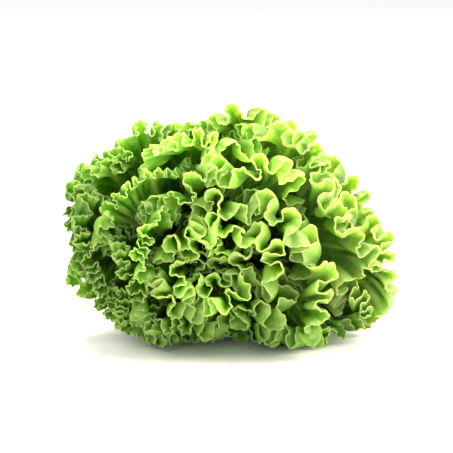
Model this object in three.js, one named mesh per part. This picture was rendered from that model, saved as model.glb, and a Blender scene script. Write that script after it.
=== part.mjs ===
// A head of frilled green lettuce, cut at the stem and lying on its side.
// The leaves grow in a spiral round a short stem. Each leaf is a thin cupped fan on a shell of its own:
// the shells are nested, so that no leaf meets the next. Each leaf's margin is scalloped and waved.
// Frame: +X to the right, -Y the way the crown of the head faces, +Z up. Lengths are in millimetres.
import * as THREE from "three";

const { clamp, degToRad, lerp, smoothstep } = THREE.MathUtils;

// Leaves, in three tiers from the outermost to the heart. The grid of a leaf is its veins and steps.
const tiers = [
  { name: "outer_leaf", count: 12, color: 0x6f9c2c, veins: 16, steps: 5 },
  { name: "middle_leaf", count: 14, color: 0x8bb63c, veins: 12, steps: 5 },
  { name: "heart_leaf", count: 12, color: 0xb9d765, veins: 8, steps: 4 },
];
const spiralAngle = degToRad(137.508);
const firstLeafAngle = degToRad(247);
const outerLeafLength = 148;
const middleLeafLength = 160;
const heartLeafLength = 104;
const outerLeafWidth = 160;
const heartLeafWidth = 50;
const ribThickness = 3.4;
const bladeThickness = 1.7;
const scallopDepth = 6;
const waveHeight = 5;

// How far a leaf leans from the stem's axis at its foot, its middle and its margin, in degrees, and how
// the lean passes from the outermost leaf to the heart: below 1, the leaves close up early.
const outerLean = [81, 42, 105];
const heartLean = [6, -8, 0];
const leanEasing = [0.85, 0.75, 0.95];

// A leaf's outline, in shares of its length: the middle of the fan, that of its lower half, and its foot.
const fanMiddle = 0.66;
const fanShoulder = 0.52;
const fanFoot = 0.1;
const fanTurn = degToRad(126);
const fanFullness = 0.85;
const ribShare = 0.75;

// How far a leaf wraps round the stem to either side, and its foot's width against the radius there.
const outerWrap = degToRad(70);
const heartWrap = degToRad(63);
const footGrasp = 1.15;

// No two leaves are alike: how much they differ in direction, in width and in how far the tip reaches.
const unevenTurn = degToRad(3);
const unevenWidth = 0.06;
const unevenTip = 0.025;

// Stem.
const stemRadius = 15;
const stemLength = 60;
const stemTipRadius = 3;
const stemTaperStart = 18;
const stemTaperEasing = 1.4;
const firstRootHeight = 9;
const lastRootBelowTip = 4;
const cutBevel = 1.2;
const stemSides = 28;

// How the head lies. The crown is tipped up. The lowest leaves are pressed flat by the surface, and the
// leaves over them sag towards it from sagStart, a height along the stem, by sagRate per millimetre.
const crownTilt = degToRad(8);
const pressedDepth = 8;
const pressHeight = 10;
const sagStart = 55;
const sagRate = 0.006;

// How far the leaves reach in the lying head, against an even one, every 30 degrees from +X to +Z.
const spreadByDirection = [0.97, 0.89, 0.83, 0.77, 0.76, 0.85, 0.82, 0.7, 0.54, 0.47, 0.54, 0.92];
const spreadTakeOver = 16;

// Fits.
const stemGap = 0.5;
const leafGap = 0.4;
const shareOfGapFilled = 0.5;
const shareOfGapWaved = 0.25;

// ---- The nested shells ----

// The stem's radius at a height above its cut face: a straight cylinder that ends in a blunt cone.
function stemRadiusAt(height) {
  const up = clamp((height - stemTaperStart) / (stemLength - stemTaperStart), 0, 1);
  return lerp(stemRadius, stemTipRadius, up ** stemTaperEasing);
}

// A value on the smooth curve that starts at one, bends with the second, and ends at the third.
function bend(a, b, c, t) {
  return (1 - t) ** 2 * a + 2 * t * (1 - t) * b + t ** 2 * c;
}

// The length of a leaf at a depth from 0, outermost, to 1, the heart.
function leafLength(depth) {
  const pull = 2 * middleLeafLength - (outerLeafLength + heartLeafLength) / 2;
  return bend(outerLeafLength, pull, heartLeafLength, depth);
}

// The profile of the shell at a depth: points at even steps along a leaf's middle.
const profileSteps = 48;
function shellProfile(depth) {
  const lean = outerLean.map((outer, k) => degToRad(lerp(outer, heartLean[k], depth ** leanEasing[k])));
  const rootHeight = lerp(firstRootHeight, stemLength - lastRootBelowTip, depth);
  const underRoot = stemRadiusAt(rootHeight - ribThickness);
  const step = leafLength(depth) / profileSteps;
  const points = [];
  let radius = underRoot + stemGap + (ribThickness / 2) * Math.cos(lean[0]);
  let height = rootHeight;
  for (let i = 0; i <= profileSteps; i++) {
    const angle = bend(...lean, i / profileSteps);
    points.push({ radius, height, angle });
    radius += step * Math.sin(angle);
    height += step * Math.cos(angle);
  }
  return points;
}

// A point of a profile at a share of its length, between its steps.
function profileAt(profile, share) {
  const place = clamp(share, 0, 1) * profileSteps;
  const i = Math.min(Math.floor(place), profileSteps - 1);
  const [a, b, t] = [profile[i], profile[i + 1], place - i];
  return {
    radius: lerp(a.radius, b.radius, t),
    height: lerp(a.height, b.height, t),
    angle: lerp(a.angle, b.angle, t),
  };
}

// ---- The head's lie ----

// The spread in a direction, on a smooth closed curve through the stated values.
function spreadAt(direction) {
  const count = spreadByDirection.length;
  const turn = (((direction / (2 * Math.PI)) % 1) + 1) % 1;
  const i = Math.floor(turn * count);
  const t = turn * count - i;
  const [a, b, c, d] = [-1, 0, 1, 2].map((k) => spreadByDirection[(i + k + count) % count]);
  return b + 0.5 * t * (c - a + t * (2 * a - 5 * b + 4 * c - d + t * (3 * (b - c) + d - a)));
}

// The radius that a point of an even head has in the lying one. The stem keeps its round section, and
// the squeeze of the leaves takes over away from it, so that they stay in their order.
const outermost = shellProfile(0)[profileSteps];
function spreadRadius(direction, radius, height) {
  const away = Math.max(radius - stemRadius, 0);
  const sag = sagRate * Math.max(height - sagStart, 0) * Math.max(-Math.sin(direction), 0) ** 2;
  const reach = outermost.radius * spreadAt(direction) * (1 + sag);
  const kept = stemRadius + spreadTakeOver;
  const squeeze = (reach - kept) / (outermost.radius - kept);
  const eased = (1 - squeeze) * spreadTakeOver * (1 - Math.exp(-away / spreadTakeOver));
  return Math.min(radius, stemRadius) + squeeze * away + eased;
}

// How high the middle of the cut face is: the outermost leaf's margin, under the head, is pressed.
const down = -Math.PI / 2;
const stemHeight =
  outermost.radius * spreadAt(down) * Math.cos(crownTilt)
  - outermost.height * Math.sin(crownTilt)
  - pressedDepth;

// Under pressHeight the leaves are pressed ever closer together, and none passes the surface.
function pressed(z) {
  return z < pressHeight ? pressHeight * Math.exp((z - pressHeight) / pressHeight) : z;
}

// From a radius, a direction and a height along the stem to the lying head's own frame.
function lay(radius, direction, height) {
  const spread = spreadRadius(direction, radius, height);
  const across = spread * Math.cos(direction);
  const up = spread * Math.sin(direction);
  return new THREE.Vector3(
    across,
    up * Math.sin(crownTilt) - height * Math.cos(crownTilt),
    pressed(stemHeight + height * Math.sin(crownTilt) + up * Math.cos(crownTilt)),
  );
}

// ---- Leaves ----

// A point of a leaf's margin, at a turn from -1 to 1 round it: a round fan on a narrow foot.
function marginPoint(leaf, turn) {
  const angle = turn * fanTurn;
  const centre = lerp(fanMiddle, fanShoulder, Math.abs(turn));
  const rise = Math.cos(angle) > 0 ? 1 - centre : centre - fanFoot;
  return {
    across: (leaf.width / 2) * Math.sign(turn) * Math.abs(Math.sin(angle)) ** fanFullness,
    share: (centre + rise * Math.cos(angle)) * leaf.tip,
  };
}

// Where a vein runs: up the rib, and then out to the margin.
function veinPoint(leaf, turn, along) {
  const end = marginPoint(leaf, turn);
  const foot = (leaf.footWidth / 2) * turn;
  const parting = Math.max(end.share - Math.abs(end.across) / 2 / leaf.length, 0.4 * end.share);
  return {
    across: bend(foot, 1.1 * foot, end.across, along),
    share: bend(0, parting, end.share, along),
  };
}

// The gap from a leaf's shell to the nearest shell that lies over it there. Leaves that are one, two or
// three steps on in the spiral start 137.5, 85 and 52.5 degrees away round the stem.
function gapAt(leaf, share, here) {
  const halfAngle = Math.min(leaf.width / 2 / here.radius, leaf.wrap);
  const stepsOn = halfAngle > degToRad(64) ? 1 : halfAngle > degToRad(40) ? 2 : 3;
  const there = profileAt(leaf.shellsOn[stepsOn - 1], share);
  const nearer = (here.radius - there.radius) * Math.cos(here.angle);
  const higher = (there.height - here.height) * Math.sin(here.angle);
  return Math.abs(nearer + higher);
}

// A point on one face of a leaf. The side is 1 on the outer face and -1 on the inner one.
function leafPoint(leaf, turn, along, side, wave) {
  const { across, share } = veinPoint(leaf, turn, along);
  const here = profileAt(leaf.profile, share);
  const gap = gapAt(leaf, share, here);
  const turned = leaf.wrap * Math.tanh(across / (here.radius * leaf.wrap));
  const ribbed = (1 - smoothstep(share, 0, ribShare)) * (1 - smoothstep(Math.abs(turn), 0, 1));
  const wanted = lerp(bladeThickness, ribThickness, ribbed);
  const room = Math.max(gap - leafGap, 0.2 * gap);
  const thickness = Math.min(wanted, shareOfGapFilled * gap, room);
  const offset = (side * thickness) / 2 + wave * Math.min(waveHeight, shareOfGapWaved * gap);
  return lay(
    here.radius + offset * Math.cos(here.angle),
    leaf.direction + turned,
    here.height - offset * Math.sin(here.angle),
  );
}

// A box of one cell per vein and step, bent into a leaf. Its front is the leaf's outer face, and every
// other vein ends in a notch of the margin, where the wave is low.
function leafGeometry(leaf) {
  const { veins, steps } = leaf;
  const geometry = new THREE.BoxGeometry(veins, steps, 2, veins, steps, 1);
  const corners = geometry.attributes.position;
  for (let k = 0; k < corners.count; k++) {
    const vein = Math.round(corners.getX(k) + veins / 2);
    const share = Math.round(corners.getY(k) + steps / 2) / steps;
    const notched = vein % 2 === 1;
    const along = share * (1 - (notched ? scallopDepth / leaf.length : 0));
    const wave = (notched ? -1 : 1) * share ** 3;
    const corner = leafPoint(leaf, (2 * vein) / veins - 1, along, corners.getZ(k), wave);
    corners.setXYZ(k, corner.x, corner.y, corner.z);
  }
  geometry.computeVertexNormals();
  return geometry;
}

// ---- The head ----

const head = new THREE.Group();

// A piece of the head, named as its node.
function addPiece(name, geometry, material) {
  const mesh = new THREE.Mesh(geometry, material);
  mesh.name = name;
  head.add(mesh);
}

// The stem: a flat cut face with a worn edge, a short cylinder and a blunt cone, turned about its axis.
const stemProfile = [
  new THREE.Vector2(0, 0),
  new THREE.Vector2(stemRadius - cutBevel, 0),
  new THREE.Vector2(stemRadius, cutBevel),
];
const taperRings = 6;
for (let i = 0; i <= taperRings; i++) {
  const height = lerp(stemTaperStart, stemLength, i / taperRings);
  stemProfile.push(new THREE.Vector2(stemRadiusAt(height), height));
}
stemProfile.push(new THREE.Vector2(0, stemLength + stemTipRadius / 2));
const stemGeometry = new THREE.LatheGeometry(stemProfile, stemSides);
stemGeometry.rotateX(Math.PI - crownTilt);
stemGeometry.translate(0, 0, stemHeight);
const stemWhite = new THREE.MeshStandardMaterial({ color: 0xdfe3bd, roughness: 0.45, metalness: 0 });
addPiece("stem", stemGeometry, stemWhite);

// The leaves, in the order they grow.
const leafCount = tiers.reduce((sum, tier) => sum + tier.count, 0);
const depthOf = (i) => i / (leafCount - 1);
const unevenness = (i, kind) => Math.sin(i * 2.3 + kind * 1.9 + i * i * 0.7);
let grown = 0;
for (const tier of tiers) {
  const green = new THREE.MeshStandardMaterial({ color: tier.color, roughness: 0.5, metalness: 0 });
  for (let n = 1; n <= tier.count; n++, grown++) {
    const depth = depthOf(grown);
    const profile = shellProfile(depth);
    const leaf = {
      profile,
      shellsOn: [1, 2, 3].map((k) => shellProfile(depthOf(grown + k))),
      direction: firstLeafAngle + grown * spiralAngle + unevenness(grown, 0) * unevenTurn,
      length: leafLength(depth),
      width: lerp(outerLeafWidth, heartLeafWidth, depth ** 1.1) * (1 + unevenness(grown, 1) * unevenWidth),
      tip: 1 - (1 + unevenness(grown, 2)) * unevenTip,
      footWidth: footGrasp * profile[0].radius,
      wrap: lerp(outerWrap, heartWrap, depth),
      veins: tier.veins,
      steps: tier.steps,
    };
    addPiece(`${tier.name}_${String(n).padStart(2, "0")}`, leafGeometry(leaf), green);
  }
}

// The origin is under the middle of the head, on the surface it lies on.
const bounds = new THREE.Box3().setFromObject(head, true);
const middle = bounds.getCenter(new THREE.Vector3());
head.position.set(-middle.x, -middle.y, -bounds.min.z);

export default head;
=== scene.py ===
"""A head of frilled green lettuce, cut at the stem and lying on its side."""
import math

import bmesh
import bpy
import numpy as np
from mathutils import Matrix, Vector


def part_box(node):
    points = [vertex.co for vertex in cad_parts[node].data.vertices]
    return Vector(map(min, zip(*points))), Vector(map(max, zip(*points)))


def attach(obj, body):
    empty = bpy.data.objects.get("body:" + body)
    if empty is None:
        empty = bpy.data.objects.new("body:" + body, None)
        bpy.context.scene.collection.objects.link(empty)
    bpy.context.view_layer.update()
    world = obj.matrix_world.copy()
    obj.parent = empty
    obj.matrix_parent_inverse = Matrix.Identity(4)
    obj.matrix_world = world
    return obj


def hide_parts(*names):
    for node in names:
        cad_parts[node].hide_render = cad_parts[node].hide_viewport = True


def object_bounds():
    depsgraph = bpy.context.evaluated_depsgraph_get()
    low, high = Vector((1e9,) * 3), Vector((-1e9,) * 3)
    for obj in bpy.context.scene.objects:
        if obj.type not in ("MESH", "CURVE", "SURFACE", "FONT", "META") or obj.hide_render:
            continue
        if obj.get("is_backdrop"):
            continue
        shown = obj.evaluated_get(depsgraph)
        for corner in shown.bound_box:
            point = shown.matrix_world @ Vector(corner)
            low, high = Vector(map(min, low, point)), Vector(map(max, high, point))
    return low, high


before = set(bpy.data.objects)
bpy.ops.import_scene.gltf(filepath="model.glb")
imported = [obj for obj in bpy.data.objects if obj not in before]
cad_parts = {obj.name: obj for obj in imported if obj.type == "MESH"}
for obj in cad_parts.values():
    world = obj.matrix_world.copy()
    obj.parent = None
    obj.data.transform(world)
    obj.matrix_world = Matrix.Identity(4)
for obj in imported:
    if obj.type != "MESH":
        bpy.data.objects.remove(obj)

cad_low, cad_high = (list(corner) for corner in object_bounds())

# ---- Stem ----
# The short core that every leaf grows from, cut across with a knife: wet, pale and firm, with a
# spongy pith in the middle and a ring of milky vessels round it that browns where the air meets it.
STEM_RADIUS, STEM_LENGTH, STEM_TIP = 15.0, 60.0, 3.0
STEM_TAPER_START, STEM_TAPER_EASING = 18.0, 1.4
CUT_BEVEL = 1.2
CROWN_TILT = math.radians(8)
MM = 0.001


def mix(a, b, share):
    """The value that is a share of the way from a to b."""
    return a + (b - a) * share


def stem_radius_at(height):
    """A straight cylinder that ends in a blunt cone, in mm."""
    up = np.clip((height - STEM_TAPER_START) / (STEM_LENGTH - STEM_TAPER_START), 0, 1)
    return mix(STEM_RADIUS, STEM_TIP, up ** STEM_TAPER_EASING)


# The middle of the cut face, in mm, from the box of the stem in the frame.
stem_low, stem_high = (np.array(corner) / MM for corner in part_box("stem"))
cut_middle = np.array([
    (stem_low[0] + stem_high[0]) / 2,
    stem_high[1] - (STEM_RADIUS - CUT_BEVEL) * math.sin(CROWN_TILT),
    stem_low[2] + STEM_RADIUS * math.cos(CROWN_TILT) - CUT_BEVEL * math.sin(CROWN_TILT),
])


def linear(code, alpha=1.0):
    """An sRGB hex colour as linear light."""
    parts = [int(code[k:k + 2], 16) / 255 for k in (1, 3, 5)]
    return [c / 12.92 if c <= 0.04045 else ((c + 0.055) / 1.055) ** 2.4 for c in parts] + [alpha]


def add(tree, kind, settings=None, **links):
    """A node of a kind, with its settings, and links to its inputs by name or, as in_0, by number.
    The stops of a colour ramp are places and hex colours."""
    node = tree.nodes.new(kind)
    for key, value in (settings or {}).items():
        if key == "stops":
            elements = node.color_ramp.elements
            while len(elements) < len(value):
                elements.new(0.5)
            for element, (place, code) in zip(elements, value):
                element.position, element.color = place, linear(code)
        elif key in node.inputs:
            node.inputs[key].default_value = value
        elif key.startswith("in_"):
            node.inputs[int(key[3:])].default_value = value
        else:
            setattr(node, key, value)
    for key, source in links.items():
        target = int(key[3:]) if key.startswith("in_") else key.replace("_", " ")
        tree.links.new(source, node.inputs[target])
    return node


def new_material(name):
    """An empty material and its node tree."""
    material = bpy.data.materials.new(name)
    material.use_nodes = True
    material.node_tree.nodes.clear()
    return material, material.node_tree


def finish_piece(mesh, name, material, node):
    """Links a mesh as a piece that rides on the head and stands for a node of the frame."""
    piece = bpy.data.objects.new(name, mesh)
    bpy.context.scene.collection.objects.link(piece)
    mesh.materials.append(material)
    mesh.shade_smooth()
    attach(piece, "root")
    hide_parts(node)
    return piece


def make_stem():
    """Spins the stem's profile round, cuts it into fine rings and works its side and cut face."""
    profile = [(0.0, 0.0), (5.0, 0.0), (9.5, 0.0)]
    profile += [(STEM_RADIUS - CUT_BEVEL, 0.0), (STEM_RADIUS, CUT_BEVEL)]
    profile += [(float(stem_radius_at(h)), h) for h in np.linspace(4, STEM_LENGTH, 24)]
    profile.append((0.0, STEM_LENGTH + STEM_TIP / 2))
    bm = bmesh.new()
    verts = [bm.verts.new((r, 0, h)) for r, h in profile]
    edges = [bm.edges.new(pair) for pair in zip(verts, verts[1:])]
    bmesh.ops.spin(bm, geom=verts + edges, cent=(0, 0, 0), axis=(0, 0, 1), angle=2 * math.pi,
                   steps=72, use_merge=True)
    bmesh.ops.remove_doubles(bm, verts=bm.verts, dist=0.01)
    bmesh.ops.recalc_face_normals(bm, faces=bm.faces)
    for vert in bm.verts:
        x, y, h = vert.co
        around = math.atan2(y, x)
        ridge = 0.35 * math.sin(5 * around + 0.3) + 0.25 * math.sin(13 * around + h / 9)
        scar = 0.3 * math.sin(h * 0.9 + 2.4 * around)
        swell = ridge + scar if h > 2 else ridge
        out = math.hypot(x, y)
        share = min(out / 10, 1)
        if out > 0.01:
            vert.co.x += x / out * swell * share
            vert.co.y += y / out * swell * share
        if h < 0.5:
            vert.co.z += 0.25 * math.sin(x * 0.5 + 1) * math.sin(y * 0.35) + 0.3 * (1 - share)
    bmesh.ops.rotate(bm, verts=bm.verts, cent=(0, 0, 0),
                     matrix=Matrix.Rotation(math.pi / 2 - CROWN_TILT, 3, "X"))
    bmesh.ops.translate(bm, verts=bm.verts, vec=Vector(cut_middle))
    bmesh.ops.scale(bm, verts=bm.verts, vec=(MM, MM, MM))
    mesh = bpy.data.meshes.new("stem_core")
    bm.to_mesh(mesh)
    bm.free()
    return mesh


# Fresh lettuce stem: pale green-white and moist, so it shines softly, and the cut dries to a fine
# browned ring at its rim and a duller pith.
stem_flesh, tree = new_material("fresh_cut_lettuce_stem")
place = add(tree, "ShaderNodeTexCoord").outputs["Object"]
centred = add(tree, "ShaderNodeMapping", {
    "vector_type": "TEXTURE",
    "Location": tuple(cut_middle * MM),
    "Rotation": (math.pi / 2 - CROWN_TILT, 0, 0),
}, Vector=place).outputs["Vector"]
flat = add(tree, "ShaderNodeSeparateXYZ", Vector=centred)
square = [add(tree, "ShaderNodeMath", {"operation": "MULTIPLY"}, in_0=o, in_1=o).outputs[0]
          for o in (flat.outputs["X"], flat.outputs["Y"])]
total = add(tree, "ShaderNodeMath", {"operation": "ADD"}, in_0=square[0], in_1=square[1]).outputs[0]
out = add(tree, "ShaderNodeMath", {"operation": "SQRT"}, in_0=total).outputs[0]
share = add(tree, "ShaderNodeMath", {"operation": "DIVIDE", "in_1": STEM_RADIUS * MM},
            in_0=out).outputs[0]
fibre = add(tree, "ShaderNodeTexNoise", {"Scale": 400.0, "Detail": 4.0}, Vector=place)
wobble = add(tree, "ShaderNodeMath", {"operation": "MULTIPLY_ADD", "in_1": 0.14, "in_2": -0.07},
             in_0=fibre.outputs["Fac"]).outputs[0]
ring = add(tree, "ShaderNodeMath", {"operation": "ADD"}, in_0=share, in_1=wobble).outputs[0]
rings = add(tree, "ShaderNodeValToRGB", {"stops": [
    (0.0, "#cdd3a4"), (0.42, "#c0ca92"), (0.55, "#a0af66"), (0.66, "#c8cc98"),
    (0.86, "#b5ad76"), (0.95, "#8a6a3e"), (1.0, "#735632"),
]}, Fac=ring).outputs["Color"]
# Only the cut face, with its worn edge, has the rings. The side has the skin.
cut = add(tree, "ShaderNodeMath", {"operation": "LESS_THAN", "in_1": CUT_BEVEL * MM},
          in_0=flat.outputs["Z"]).outputs[0]
skin = add(tree, "ShaderNodeValToRGB", {
    "stops": [(0.3, "#a6b66e"), (0.55, "#bfc992"), (0.7, "#b0a36c")],
}, Fac=fibre.outputs["Fac"]).outputs["Color"]
stem_colour = add(tree, "ShaderNodeMix", {"data_type": "RGBA"},
                  in_0=cut, in_6=skin, in_7=rings).outputs[2]
stem_bump = add(tree, "ShaderNodeBump", {"Strength": 0.4, "Distance": 0.0004},
                Height=fibre.outputs["Fac"]).outputs["Normal"]
shine = add(tree, "ShaderNodeBsdfPrincipled", {
    "Roughness": 0.38, "IOR": 1.4, "Subsurface Weight": 0.25, "Subsurface Scale": 0.004,
    "Subsurface Radius": (1.0, 1.0, 0.6),
}, Base_Color=stem_colour, Normal=stem_bump)
add(tree, "ShaderNodeOutputMaterial", Surface=shine.outputs[0])
finish_piece(make_stem(), "stem_core", stem_flesh, "stem")

# ---- Leaves ----
# Thirty-eight leaves in a spiral round the stem, from the widest outside to the curled heart. Each is
# one soft blade on a pale rib. Its margin grows faster than its middle, so it has to fold into frills,
# the frills fold again, and the edge ends in small teeth.
TIERS = [
    {"name": "outer_leaf", "count": 12, "columns": 640},
    {"name": "middle_leaf", "count": 14, "columns": 460},
    {"name": "heart_leaf", "count": 12, "columns": 260},
]
LEAF_COUNT = sum(tier["count"] for tier in TIERS)
SPIRAL = math.radians(137.508)
FIRST_LEAF = math.radians(247)
OUTER_LENGTH, MIDDLE_LENGTH, HEART_LENGTH = 148.0, 160.0, 104.0
OUTER_WIDTH, HEART_WIDTH = 205.0, 52.0
RIB = 3.4
OUTER_LEAN, HEART_LEAN, LEAN_EASING = (81, 42, 105), (6, -8, 0), (0.85, 0.75, 0.95)
FAN_MIDDLE, FAN_SHOULDER, FAN_FOOT, FAN_FULLNESS = 0.66, 0.52, 0.1, 0.85
FAN_TURN = math.radians(126)
OUTER_WRAP, HEART_WRAP = math.radians(70), math.radians(63)
FOOT_GRASP = 1.15
UNEVEN_TURN, UNEVEN_WIDTH, UNEVEN_TIP = math.radians(3), 0.06, 0.025
FIRST_ROOT, LAST_ROOT = 9.0, STEM_LENGTH - 4
STEM_GAP = 0.5
PRESSED, PRESS_HEIGHT, SAG_START, SAG_RATE = 8.0, 10.0, 55.0, 0.006
# How far the leaves reach against an even head, every 30 degrees from +X to +Z, and how far out from
# the stem that squeeze takes over.
SPREAD = [1.05, 0.91, 0.97, 0.81, 0.93, 0.89, 0.87, 0.76, 0.58, 0.47, 0.62, 1.08]
LOWEST_SPREAD = 0.47
TAKE_OVER = 16.0
# How far the frilled part of a leaf turns up towards the crown.
OUTER_CURL, HEART_CURL, CURL_START = math.radians(74), math.radians(6), 0.58
PROFILE_STEPS = 48


def bow(a, b, c, t):
    """The smooth curve from a to c that bends with b."""
    return (1 - t) ** 2 * a + 2 * t * (1 - t) * b + t ** 2 * c


def ease(value, low, high):
    """0 below low, 1 above high, and smooth between them."""
    t = np.clip((value - low) / (high - low), 0, 1)
    return t * t * (3 - 2 * t)


def leaf_length(depth):
    pull = 2 * MIDDLE_LENGTH - (OUTER_LENGTH + HEART_LENGTH) / 2
    return bow(OUTER_LENGTH, pull, HEART_LENGTH, depth)


def shell_profile(depth, leaning=0.0):
    """Radius, height and lean up the middle of a leaf, at a depth from 0, outside, to 1, the heart."""
    leans = zip(OUTER_LEAN, HEART_LEAN, LEAN_EASING)
    lean = [math.radians(mix(outer, heart, depth ** easing)) for outer, heart, easing in leans]
    share = np.linspace(0, 1, PROFILE_STEPS + 1)
    angle = bow(*lean, share) - mix(OUTER_CURL, HEART_CURL, depth) * ease(share, CURL_START, 1)
    angle = angle + math.radians(leaning) * ease(share, 0.3, 0.85)
    step = leaf_length(depth) / PROFILE_STEPS
    root = mix(FIRST_ROOT, LAST_ROOT, depth)
    start = stem_radius_at(root - RIB) + STEM_GAP + RIB / 2 * math.cos(lean[0])
    radius = start + step * np.concatenate([[0], np.cumsum(np.sin(angle[:-1]))])
    height = root + step * np.concatenate([[0], np.cumsum(np.cos(angle[:-1]))])
    return radius, height, angle


def profile_at(profile, share):
    place = np.clip(share, 0, 1) * PROFILE_STEPS
    return [np.interp(place, np.arange(PROFILE_STEPS + 1), values) for values in profile]


def spread_table(count=720):
    """The reach in each direction, on a smooth closed curve."""
    turn = np.arange(count) / count * len(SPREAD)
    i = np.floor(turn).astype(int)
    t = turn - i
    a, b, c, d = (np.array(SPREAD)[(i + k) % len(SPREAD)] for k in (-1, 0, 1, 2))
    return b + 0.5 * t * (c - a + t * (2 * a - 5 * b + 4 * c - d + t * (3 * (b - c) + d - a)))


spread_values = spread_table()
spread_turns = np.arange(len(spread_values)) / len(spread_values) * 2 * math.pi
widest_radius, widest_height = (values[-1] for values in shell_profile(0)[:2])
stem_height = (widest_radius * LOWEST_SPREAD * math.cos(CROWN_TILT)
               - widest_height * math.sin(CROWN_TILT) - PRESSED)


def press(z, height):
    """Leaves are pressed ever closer together near the surface, and none passes it."""
    return np.where(z < height, height * np.exp((np.minimum(z, height) - height) / height), z)


# Where the leaves stand apart: the inner ones keep closer to the heart and the outer ones lean back, so
# that the face of a leaf shows between them. Direction and half width in degrees, then mm.
OPEN_AT, OPEN_WIDTH, OPEN_IN, OPEN_BACK = 118.0, 20.0, 15.0, 20.0


def opened_at(direction, widened=1.0):
    """1 in the middle of the opening and 0 well away from it."""
    aside = (np.degrees(direction) - OPEN_AT + 180) % 360 - 180
    return np.exp(-(aside / OPEN_WIDTH / widened) ** 2)


def lay(radius, direction, height):
    """From round the stem to where the lying head holds that point, in mm."""
    opened = opened_at(direction)
    height = height - OPEN_BACK * opened * ease(radius, 80, 122)
    radius = radius - OPEN_IN * opened * ease(radius, 15, 60) * (1 - ease(radius, 76, 96))
    spread = np.interp(direction % (2 * math.pi), spread_turns, spread_values, period=2 * math.pi)
    away = np.maximum(radius - STEM_RADIUS, 0)
    sag = SAG_RATE * np.maximum(height - SAG_START, 0) * np.maximum(-np.sin(direction), 0) ** 2
    kept = STEM_RADIUS + TAKE_OVER
    squeeze = (widest_radius * spread * (1 + sag) - kept) / (widest_radius - kept)
    eased = (1 - squeeze) * TAKE_OVER * (1 - np.exp(-away / TAKE_OVER))
    reach = np.minimum(radius, STEM_RADIUS) + squeeze * away + eased
    up = reach * np.sin(direction)
    rise = stem_height + height * math.sin(CROWN_TILT) + up * math.cos(CROWN_TILT)
    return np.stack([
        reach * np.cos(direction) + cut_middle[0],
        up * math.sin(CROWN_TILT) - height * math.cos(CROWN_TILT) + cut_middle[1],
        press(rise, PRESS_HEIGHT) + cut_middle[2] - stem_height,
    ], axis=-1)


def margin_point(leaf, turn):
    """A round fan on a narrow foot: how far across and up the leaf its margin is."""
    angle = turn * FAN_TURN
    centre = mix(FAN_MIDDLE, FAN_SHOULDER, np.abs(turn))
    rise = np.where(np.cos(angle) > 0, 1 - centre, centre - FAN_FOOT)
    across = leaf["width"] / 2 * np.sign(turn) * np.abs(np.sin(angle)) ** FAN_FULLNESS
    return across, (centre + rise * np.cos(angle)) * leaf["tip"]


def vein_point(leaf, turn, along):
    """Where a vein runs: up the rib, and then out to the margin."""
    across, share = margin_point(leaf, turn)
    foot = leaf["foot"] / 2 * turn
    parting = np.maximum(share - np.abs(across) / 2 / leaf["length"], 0.4 * share)
    return bow(foot, 1.1 * foot, across, along), bow(0, parting, share, along)


# Broad swells that the whole head shares, so that the leaves stay nested: waves round the stem, waves
# up the leaf, start and height in mm.
SWELLS = [(5, 7.0, 0.6, 3.4), (8, -9.0, 2.1, 3.0), (11, 12.0, 4.0, 2.4), (3, 15.0, 5.2, 2.2)]
# Broad folds across the lying head: wave and height in mm, turn, tip and start in radians. They leave
# the heart alone, within STIR_FROM mm of a point ahead of the cut face.
STIRS = [(74, 5.0, 0.4, 0.3, 0.5), (62, 4.0, 1.7, -0.4, 2.6),
         (88, 6.0, 2.6, 0.2, 4.4), (51, 3.0, 3.6, 0.5, 1.2)]
HEART_AHEAD, STIR_FROM, STIR_FULL = 35, 25, 70
# Under the crown the leaves are tucked in, most at the table and not at all at TUCK_HEIGHT, in mm.
TUCK, TUCK_HEIGHT, TUCK_START, TUCK_END = 48.0, 66.0, 5, 95


def blade_point(leaf, turn, along):
    """The smooth middle of a leaf's blade, before it frills."""
    across, share = vein_point(leaf, turn, along)
    radius, height, angle = profile_at(leaf["profile"], share)
    direction = leaf["direction"] + leaf["wrap"] * np.tanh(across / (radius * leaf["wrap"]))
    swell = sum(h * np.sin(n * direction + m * share + p) for n, m, p, h in SWELLS)
    swell = swell * ease(share, 0.25, 0.9) * np.minimum(radius / 90, 1)
    return stir(lay(radius + swell * np.cos(angle), direction, height - swell * np.sin(angle)))


def stir(points):
    """Broad folds that all the leaves share, so that they stay nested while their rows break up."""
    moved = points.copy()
    for wave, height, turn, tip, start in STIRS:
        across, up = math.cos(turn) * math.cos(tip), math.sin(turn) * math.cos(tip)
        way = np.array([across, math.sin(tip), up])
        push = np.array([-math.sin(turn), 0.35 * math.cos(start), math.cos(turn)])
        moved += push * (height * np.sin(2 * math.pi * points @ way / wave + start))[..., None]
    centre = cut_middle + np.array([0, -HEART_AHEAD, 0])
    outside = ease(np.linalg.norm(points - centre, axis=-1), STIR_FROM, STIR_FULL)
    moved = mix(points, moved, outside[..., None])
    low = np.clip(1 - moved[..., 2] / TUCK_HEIGHT, 0, 1) ** 2
    uneven = 1 + 0.35 * np.sin(moved[..., 0] / 17 + 1.2) + 0.2 * np.sin(moved[..., 0] / 7.5)
    moved[..., 1] += TUCK * uneven * low * ease(-moved[..., 1], TUCK_START, TUCK_END)
    return moved


def lengths_along(points, axis):
    """Distances summed up along an axis of a grid of points."""
    steps = np.linalg.norm(np.diff(points, axis=axis), axis=-1)
    start = np.zeros_like(np.take(steps, [0], axis=axis))
    return np.concatenate([start, np.cumsum(steps, axis=axis)], axis=axis)


def unit(vectors):
    return vectors / np.maximum(np.linalg.norm(vectors, axis=-1, keepdims=True), 1e-9)


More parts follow.
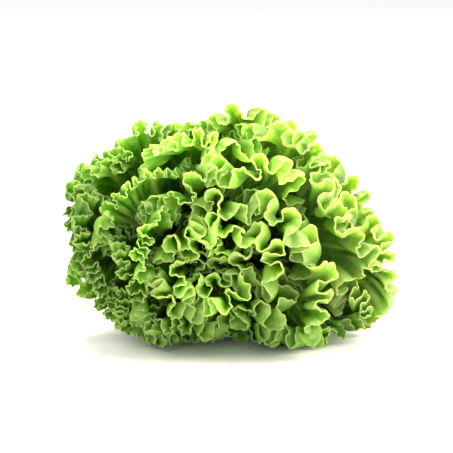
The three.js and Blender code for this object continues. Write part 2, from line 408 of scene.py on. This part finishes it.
def wander(rng, place, span, count=4):
    """A smooth random line between about -1 and 1, with bends a span apart."""
    total = np.zeros_like(place)
    for _ in range(count):
        wave, start = span * rng.uniform(0.6, 1.6), rng.uniform(0, 2 * math.pi)
        total += np.sin(2 * math.pi * place / wave + start)
    return total / math.sqrt(count) / 1.2


# Frills are coarsest round a place right of the heart, x and z in mm, and finer away from it.
COARSE_X, COARSE_Z, COARSE_WITHIN, FINE_BEYOND = 28, 85, 35, 115
COARSE, FINE = 1.05, 0.6


def frill(points, rng, wave, height, band, lean, frayed):
    """Folds the margin, row 0 of a grid, into loops to either side that die out over the band."""
    edge = lengths_along(points[0], 0)
    inward = lengths_along(points, 0)
    tangent = unit(np.gradient(points, axis=1))
    outward = unit(-np.gradient(points, axis=0))
    normal = unit(np.cross(tangent, outward))
    spacing = np.linalg.norm(np.gradient(points, axis=1), axis=-1)
    narrowed = spacing / np.maximum(spacing[:1], 1e-6)
    away = np.hypot(points[0, :, 0] - COARSE_X, points[0, :, 2] - COARSE_Z)
    finer = mix(COARSE, FINE, ease(away, COARSE_WITHIN, FINE_BEYOND))
    wave = wave * finer
    phase = 2 * math.pi * np.cumsum(np.gradient(edge) / wave)
    phase = phase + 1.3 * wander(rng, edge, 3.2 * np.mean(wave))
    mean_wave = float(np.mean(wave))
    strength = np.clip(1 + 0.35 * wander(rng, edge, 2.3 * mean_wave), 0.7, 1.4)
    reach = band * np.clip(1 + 0.3 * wander(rng, edge, 3 * mean_wave), 0.75, 1.5)
    fall = np.clip(1 - inward / reach, 0, 1) ** 1.05
    span = wave * narrowed / (2 * math.pi)
    swing = np.minimum(height * mix(1, finer, 0.6) * strength * fall, 2.7 * span)
    steep = swing / np.maximum(span, 1e-6)
    loop = steep ** 2 / (8 + 1.3 * steep) * span
    tilt = lean * wander(rng, edge, 2.6 * mean_wave)
    moved = points + normal * (swing * np.sin(phase))[..., None]
    moved -= tangent * (loop * np.sin(2 * phase))[..., None]
    moved += outward * (swing * (tilt + frayed * np.cos(2 * phase + 1.1)))[..., None]
    return moved


# The frills of most leaves, and the finer ones of the leaf whose face shows in the opening: wave,
# height and band, in mm. Each is folded again, and the last folds are the teeth.
FOLDS, FINE_FOLDS = (28, 12.5, 50), (15, 5.0, 20)
REFOLDS, TEETH = (12, 2.5, 13), (7.0, 0.45, 4.0)
FINE_LEAVES = (15,)
# Leaves, by their place in the spiral, that lean out over a wide gap, in degrees.
LEANING_OUT = {14: 12, 11: 8, 3: 6}
# How far the rows of a leaf are from its margin, as shares of the way to its foot.
ROWS = np.array([0, 0.6, 1.3, 2.2, 3.3, 4.6, 6.1, 7.8, 9.7, 11.8, 14.2, 17, 20.2, 23.8, 27.8, 32.2, 37,
                 42.5, 49, 56.5, 65, 75, 86, 98, 111, 125, 138, 148]) / 148


def leaf_grid(leaf, columns, rng):
    """The frilled middle surface of a leaf, in rows from its margin, and how far in each point is."""
    turns = np.linspace(-1, 1, 801)
    rim = lengths_along(blade_point(leaf, turns, np.ones_like(turns)), 0)
    turn = np.interp(np.linspace(0, rim[-1], columns + 1), rim, turns)
    steps = np.linspace(0, 1, 61)
    vein = blade_point(leaf, turn[None, :], steps[:, None])
    run = lengths_along(vein, 0)
    along = np.stack([
        np.interp((1 - ROWS) * run[-1, j], run[:, j], steps) for j in range(columns + 1)
    ], axis=1)
    points = blade_point(leaf, turn[None, :], along)
    inward = lengths_along(points, 0)
    across, share = vein_point(leaf, turn[None, :], along)
    size = leaf["size"]
    rim_across, rim_share = margin_point(leaf, turn)
    rim_radius = profile_at(leaf["profile"], rim_share)[0]
    rim_turned = leaf["direction"] + leaf["wrap"] * np.tanh(rim_across / (rim_radius * leaf["wrap"]))
    fine = leaf["fine"] * opened_at(rim_turned, 1.2)
    wave, height, band = (mix(a, b, fine) for a, b in zip(FOLDS, FINE_FOLDS))
    left = ease(-points[0, :, 0], 0, 70)
    points = frill(points, rng, wave * size, height * size, band * size, 0.4, 0.15)
    wave, height, band = REFOLDS
    height = height * size * mix(0.6, 1.1, left)
    points = frill(points, rng, wave * size, height, band * size, 0.4, 0.2)
    wave, height, band = TEETH
    points = frill(points, rng, wave, height * mix(0.7, 1.0, left), band, 0.5, 0.3)
    return points, inward, across, share, turn


def blank_leaf(columns):
    """A flat grid with a back to it, one cell for each column and row of a leaf."""
    bm = bmesh.new()
    bmesh.ops.create_grid(bm, x_segments=columns, y_segments=len(ROWS) - 1, size=1.0)
    bmesh.ops.solidify(bm, geom=bm.faces[:], thickness=1.0)
    mesh = bpy.data.meshes.new("blank_leaf")
    bm.to_mesh(mesh)
    bm.free()
    return mesh


# How thick the blade and the foot of the rib are, and how far veins stand out at the back, in mm.
BLADE, RIB_BACK, VEIN_HEIGHT = 0.55, 4.2, 0.5
# Veins to a leaf, where they start, as a share of its length, and how strong they are.
VEINS = ((5.5, 0.1, 1.0), (13.0, 0.45, 0.5))


def make_leaf(name, leaf, blank, columns, rng):
    """Bends a flat blank into the leaf, gives it its rib and blade, and notes its veins and edge."""
    points, inward, across, share, turn = leaf_grid(leaf, columns, rng)
    tangent = unit(np.gradient(points, axis=1))
    outward = unit(-np.gradient(points, axis=0))
    normal = unit(np.cross(tangent, outward))
    rib_width = mix(6.5, 1.2, ease(share, 0, 0.85)) * leaf["size"]
    rib = np.exp(-(across / rib_width) ** 2) * (1 - ease(share, 0.45, 0.95))
    veins = 0
    for count, start, weight in VEINS:
        bent = turn[None, :] * count + 0.35 * np.sin(share * 7 + turn * 3)
        line = np.exp(-((bent - np.round(bent)) / 0.13) ** 2)
        veins = np.maximum(veins, weight * line * ease(share, start, start + 0.15))
    veins = veins * ease(inward, 1, 16) * leaf["veined"]
    thick = BLADE + (RIB_BACK - BLADE) * rib * leaf["size"] + 0.25 * (1 - ease(share, 0, 0.3))
    ridge = VEIN_HEIGHT * veins * (1 - rib)
    mesh = blank.copy()
    mesh.name = name
    count = len(mesh.vertices)
    flat = np.empty(count * 3)
    mesh.vertices.foreach_get("co", flat)
    flat = flat.reshape(-1, 3)
    column = np.rint((flat[:, 0] + 1) / 2 * columns).astype(int)
    row = np.rint((1 - flat[:, 1]) / 2 * (len(ROWS) - 1)).astype(int)
    back = np.abs(flat[:, 2]) > 0.5
    side = np.where(back, -1.0, 1.0)
    # Veins stand out on the outer face and are sunk a little in the inner one.
    raised, sunk = side * ridge[row, column], -side * 0.3 * ridge[row, column]
    offset = side * (thick[row, column] / 2) + np.where(back, raised, sunk)
    placed = points[row, column] + normal[row, column] * offset[:, None]
    placed[:, 2] = press(placed[:, 2], 3.0)
    mesh.vertices.foreach_set("co", (placed * MM).ravel())
    # Painted light and shade: the tone is painted up to a fifth lighter towards the upper right of the
    # head, where the light falls, and a tenth darker towards the lower left, on top of each leaf's own
    # tone.
    painted_light_share = ease(0.45 * placed[:, 0] + 1.3 * (placed[:, 2] - 95), -50, 85)
    notes = {
        "edge": inward[row, column] * MM,
        "vein": np.maximum(veins, rib)[row, column],
        "share": share[row, column],
        "tone": leaf["tone"] * mix(0.9, 1.2, painted_light_share),
        # Painted light: a share that grows towards the upper right of the head, where the light falls,
        # which paints the leaves yellower and paler there.
        "sun": ease(placed[:, 0] + 0.9 * (placed[:, 2] - 95), -90, 130),
    }
    for key, values in notes.items():
        note = mesh.attributes.new(key, "FLOAT", "POINT")
        note.data.foreach_set("value", values.astype(np.float32))
    loops = np.empty(len(mesh.loops), dtype=np.int32)
    mesh.loops.foreach_get("vertex_index", loops)
    up_leaf = np.broadcast_to((1 - ROWS)[:, None] * leaf["length"] * MM, across.shape)
    uv = np.stack([(across * MM)[row, column], up_leaf[row, column]], -1)
    layer = mesh.uv_layers.new(name="blade")
    layer.data.foreach_set("uv", uv[loops].astype(np.float32).ravel())
    mesh.update()
    return mesh


# Fresh lettuce leaf: a thin, moist, waxy blade. Light passes through it and comes out yellow-green, it
# shines softly, its veins and rib are pale, and its edge is the lightest of all, partly its own paler
# colour and partly a painted highlight. Towards the upper right of the head the leaves are painted
# lighter, yellower and paler, as painted light.
LIGHT_THROUGH = 0.5


def leaf_material(name, deep, green, frilled, edge, glow):
    """The blade's colours from its middle to its edge, and that of the light that comes through."""
    material, tree = new_material(name)
    coords = add(tree, "ShaderNodeTexCoord")
    place = coords.outputs["Object"]
    read = {key: add(tree, "ShaderNodeAttribute", {"attribute_name": key}).outputs["Fac"]
            for key in ("edge", "vein", "share", "tone", "sun")}
    # From the deep green of the blade to the frill, over the last 32 mm.
    inward = add(tree, "ShaderNodeMath", {"operation": "DIVIDE", "in_1": 0.032},
                 in_0=read["edge"]).outputs[0]
    patches = add(tree, "ShaderNodeTexNoise", {"Scale": 28.0, "Detail": 3.0},
                  Vector=place).outputs["Fac"]
    shift = add(tree, "ShaderNodeMath", {"operation": "MULTIPLY_ADD", "in_1": 0.9, "in_2": -0.45},
                in_0=patches).outputs[0]
    inward = add(tree, "ShaderNodeMath", {"operation": "ADD"}, in_0=inward, in_1=shift).outputs[0]
    blade = add(tree, "ShaderNodeValToRGB", {"stops": [(0.0, frilled), (0.3, green), (0.8, deep)]},
                Fac=inward).outputs["Color"]
    # Fine mottling, 3 mm across, between the smallest veins.
    cells = add(tree, "ShaderNodeTexVoronoi", {"feature": "DISTANCE_TO_EDGE", "Scale": 300.0},
                Vector=coords.outputs["UV"]).outputs["Distance"]
    net = add(tree, "ShaderNodeMapRange", {"From Max": 0.12, "To Min": 0.35, "To Max": 0.0},
              Value=cells).outputs[0]
    paler = add(tree, "ShaderNodeMath", {"operation": "MULTIPLY", "in_1": 0.7},
                in_0=read["vein"]).outputs[0]
    lined = add(tree, "ShaderNodeMath", {"operation": "MAXIMUM"}, in_0=paler, in_1=net).outputs[0]
    lined = add(tree, "ShaderNodeMath", {"operation": "MULTIPLY", "in_1": 0.8},
                in_0=lined).outputs[0]
    veined = add(tree, "ShaderNodeMix", {"data_type": "RGBA", "in_7": linear("#c0d482")},
                 in_0=lined, in_6=blade).outputs[2]
    # The foot is the palest green of the blade.
    foot = add(tree, "ShaderNodeMapRange",
               {"From Min": 0.06, "From Max": 0.42, "To Min": 0.85, "To Max": 0.0},
               Value=read["share"]).outputs[0]
    footed = add(tree, "ShaderNodeMix", {"data_type": "RGBA", "in_7": linear("#bfca8c")},
                 in_0=foot, in_6=veined).outputs[2]
    # The last millimetre is the palest, partly the edge's own paler colour and partly a painted
    # highlight of light caught by the thin rim.
    rim = add(tree, "ShaderNodeMapRange",
              {"From Min": 0.0001, "From Max": 0.0012, "To Min": 0.5, "To Max": 0.0},
              Value=read["edge"]).outputs[0]
    pale_and_highlit_rim = add(tree, "ShaderNodeMix", {"data_type": "RGBA", "in_7": linear(edge)},
                 in_0=rim, in_6=footed).outputs[2]
    # Painted light: towards the upper right of the head, where the light falls, the leaves are painted
    # yellower and paler, and the tone they carry is partly their own and partly painted light and
    # shade.
    painted_yellow_hue = add(tree, "ShaderNodeMapRange", {"To Min": 0.502, "To Max": 0.482},
                   Value=read["sun"]).outputs[0]
    painted_paling = add(tree, "ShaderNodeMapRange", {"To Min": 1.04, "To Max": 0.88},
                Value=read["sun"]).outputs[0]
    toned = add(tree, "ShaderNodeHueSaturation", Color=pale_and_highlit_rim, Value=read["tone"], Hue=painted_yellow_hue,
                Saturation=painted_paling).outputs[0]
    height = add(tree, "ShaderNodeMath", {"operation": "MULTIPLY_ADD", "in_1": 0.6},
                 in_0=patches, in_2=cells).outputs[0]
    bump = add(tree, "ShaderNodeBump", {"Strength": 0.35, "Distance": 0.0005},
               Height=height).outputs["Normal"]
    shine = add(tree, "ShaderNodeBsdfPrincipled", {"Roughness": 0.42, "IOR": 1.42},
                Base_Color=toned, Normal=bump)
    lit = add(tree, "ShaderNodeMix",
              {"data_type": "RGBA", "blend_type": "MULTIPLY", "in_0": 1.0, "in_7": linear(glow)},
              in_6=toned).outputs[2]
    # The thick foot lets less light through than the frill.
    passed = add(tree, "ShaderNodeMapRange",
                 {"From Min": 0.15, "From Max": 0.6, "To Min": 0.55, "To Max": 1.5},
                 Value=read["share"]).outputs[0]
    brighter = add(tree, "ShaderNodeHueSaturation", {"Saturation": 0.9},
                   Color=lit, Value=passed).outputs[0]
    through = add(tree, "ShaderNodeBsdfTranslucent", Color=brighter, Normal=bump)
    both = add(tree, "ShaderNodeMixShader", {"Fac": LIGHT_THROUGH},
               in_1=shine.outputs[0], in_2=through.outputs[0])
    add(tree, "ShaderNodeOutputMaterial", Surface=both.outputs[0])
    return material


materials = {
    "outer_leaf": leaf_material(
        "outer_lettuce_blade", "#3c8004", "#62a41c", "#9dcb60", "#e9f4c6", "#fff4c0"),
    "middle_leaf": leaf_material(
        "middle_lettuce_blade", "#478c08", "#70b02a", "#a8d26a", "#e6f1c0", "#fff4c0"),
    "heart_leaf": leaf_material(
        "heart_lettuce_blade", "#6ca622", "#94c64a", "#c2e380", "#eef6c8", "#fff7b8"),
}


def unevenness(i, kind):
    """How a leaf differs from an even one, in one of several ways, from -1 to 1."""
    return math.sin(i * 2.3 + kind * 1.9 + i * i * 0.7)


grown = 0
for tier in TIERS:
    columns = tier["columns"]
    blank = blank_leaf(columns)
    for n in range(1, tier["count"] + 1):
        rng = np.random.default_rng(100 + grown)
        depth = grown / (LEAF_COUNT - 1)
        profile = shell_profile(depth, LEANING_OUT.get(grown, 0))
        leaf = {
            "profile": profile,
            "direction": FIRST_LEAF + grown * SPIRAL + unevenness(grown, 0) * UNEVEN_TURN,
            "length": leaf_length(depth),
            "width": (mix(OUTER_WIDTH, HEART_WIDTH, depth ** 1.1)
                      * (1 + unevenness(grown, 1) * UNEVEN_WIDTH)),
            "tip": 1 - (1 + unevenness(grown, 2)) * UNEVEN_TIP,
            "foot": FOOT_GRASP * profile[0][0],
            "wrap": mix(OUTER_WRAP, HEART_WRAP, depth),
            "size": mix(1.0, 0.62, depth ** 1.6),
            "tone": 1 + 0.12 * unevenness(grown, 3),
            "fine": float(grown in FINE_LEAVES),
            "veined": 1.4 if grown in FINE_LEAVES else 0.8,
        }
        node = f"{tier['name']}_{n:02d}"
        mesh = make_leaf(f"{node}_frilled", leaf, blank, columns, rng)
        finish_piece(mesh, f"{node}_frilled", materials[tier["name"]], node)
        grown += 1
    bpy.data.meshes.remove(blank)

# ---- Stage ----
# A plain white table top that runs out of sight, soft white light all round, and three large soft
# lamps: one to the right, one above and behind, which shines through the leaves, and a weak one left.
bm = bmesh.new()
bmesh.ops.create_grid(bm, x_segments=1, y_segments=1, size=12.0)
table = bpy.data.meshes.new("table_top")
bm.to_mesh(table)
bm.free()
table_top = bpy.data.objects.new("table_top", table)
bpy.context.scene.collection.objects.link(table_top)
table_top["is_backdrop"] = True
paint, tree = new_material("white_table_paint")
matt = add(tree, "ShaderNodeBsdfPrincipled", {"Base Color": linear("#fbfbfa"), "Roughness": 0.6})
add(tree, "ShaderNodeOutputMaterial", Surface=matt.outputs[0])
table.materials.append(paint)

world = bpy.data.worlds.new("studio")
bpy.context.scene.world = world
world.use_nodes = True
background = world.node_tree.nodes["Background"]
background.inputs["Color"].default_value = (1, 1, 1, 1)
background.inputs["Strength"].default_value = 0.95

low, high = (Vector(corner) for corner in (cad_low, cad_high))
middle = (low + high) / 2


def add_lamp(name, place, size, power):
    """A soft square lamp that faces the middle of the head."""
    lamp = bpy.data.lights.new(name, "AREA")
    lamp.size, lamp.energy = size, power
    lamp.color = linear("#fff3e2")[:3]
    fitting = bpy.data.objects.new(name, lamp)
    bpy.context.scene.collection.objects.link(fitting)
    fitting.location = middle + Vector(place)
    fitting.rotation_euler = (-Vector(place)).to_track_quat("-Z", "Y").to_euler()


add_lamp("key_lamp", (1.3, -0.05, 0.9), 1.2, 42)
add_lamp("back_lamp", (0.15, 0.5, 1.42), 1.3, 62)
add_lamp("fill_lamp", (-1.0, -0.2, 1.0), 1.2, 10)

# The camera looks at the crown, a little from above.
CAMERA_RISE = math.radians(12)
CAMERA_DISTANCE = 1.4
camera = bpy.data.cameras.new("camera")
camera.lens, camera.sensor_width = 132.6, 36.0
stand = bpy.data.objects.new("camera", camera)
bpy.context.scene.collection.objects.link(stand)
aim = Vector((middle.x, middle.y, middle.z))
back = Vector((0, -math.cos(CAMERA_RISE), math.sin(CAMERA_RISE)))
stand.location = aim + back * CAMERA_DISTANCE
stand.rotation_euler = (-back).to_track_quat("-Z", "Y").to_euler()
bpy.context.scene.camera = stand
bpy.context.scene.view_settings.view_transform = "Standard"
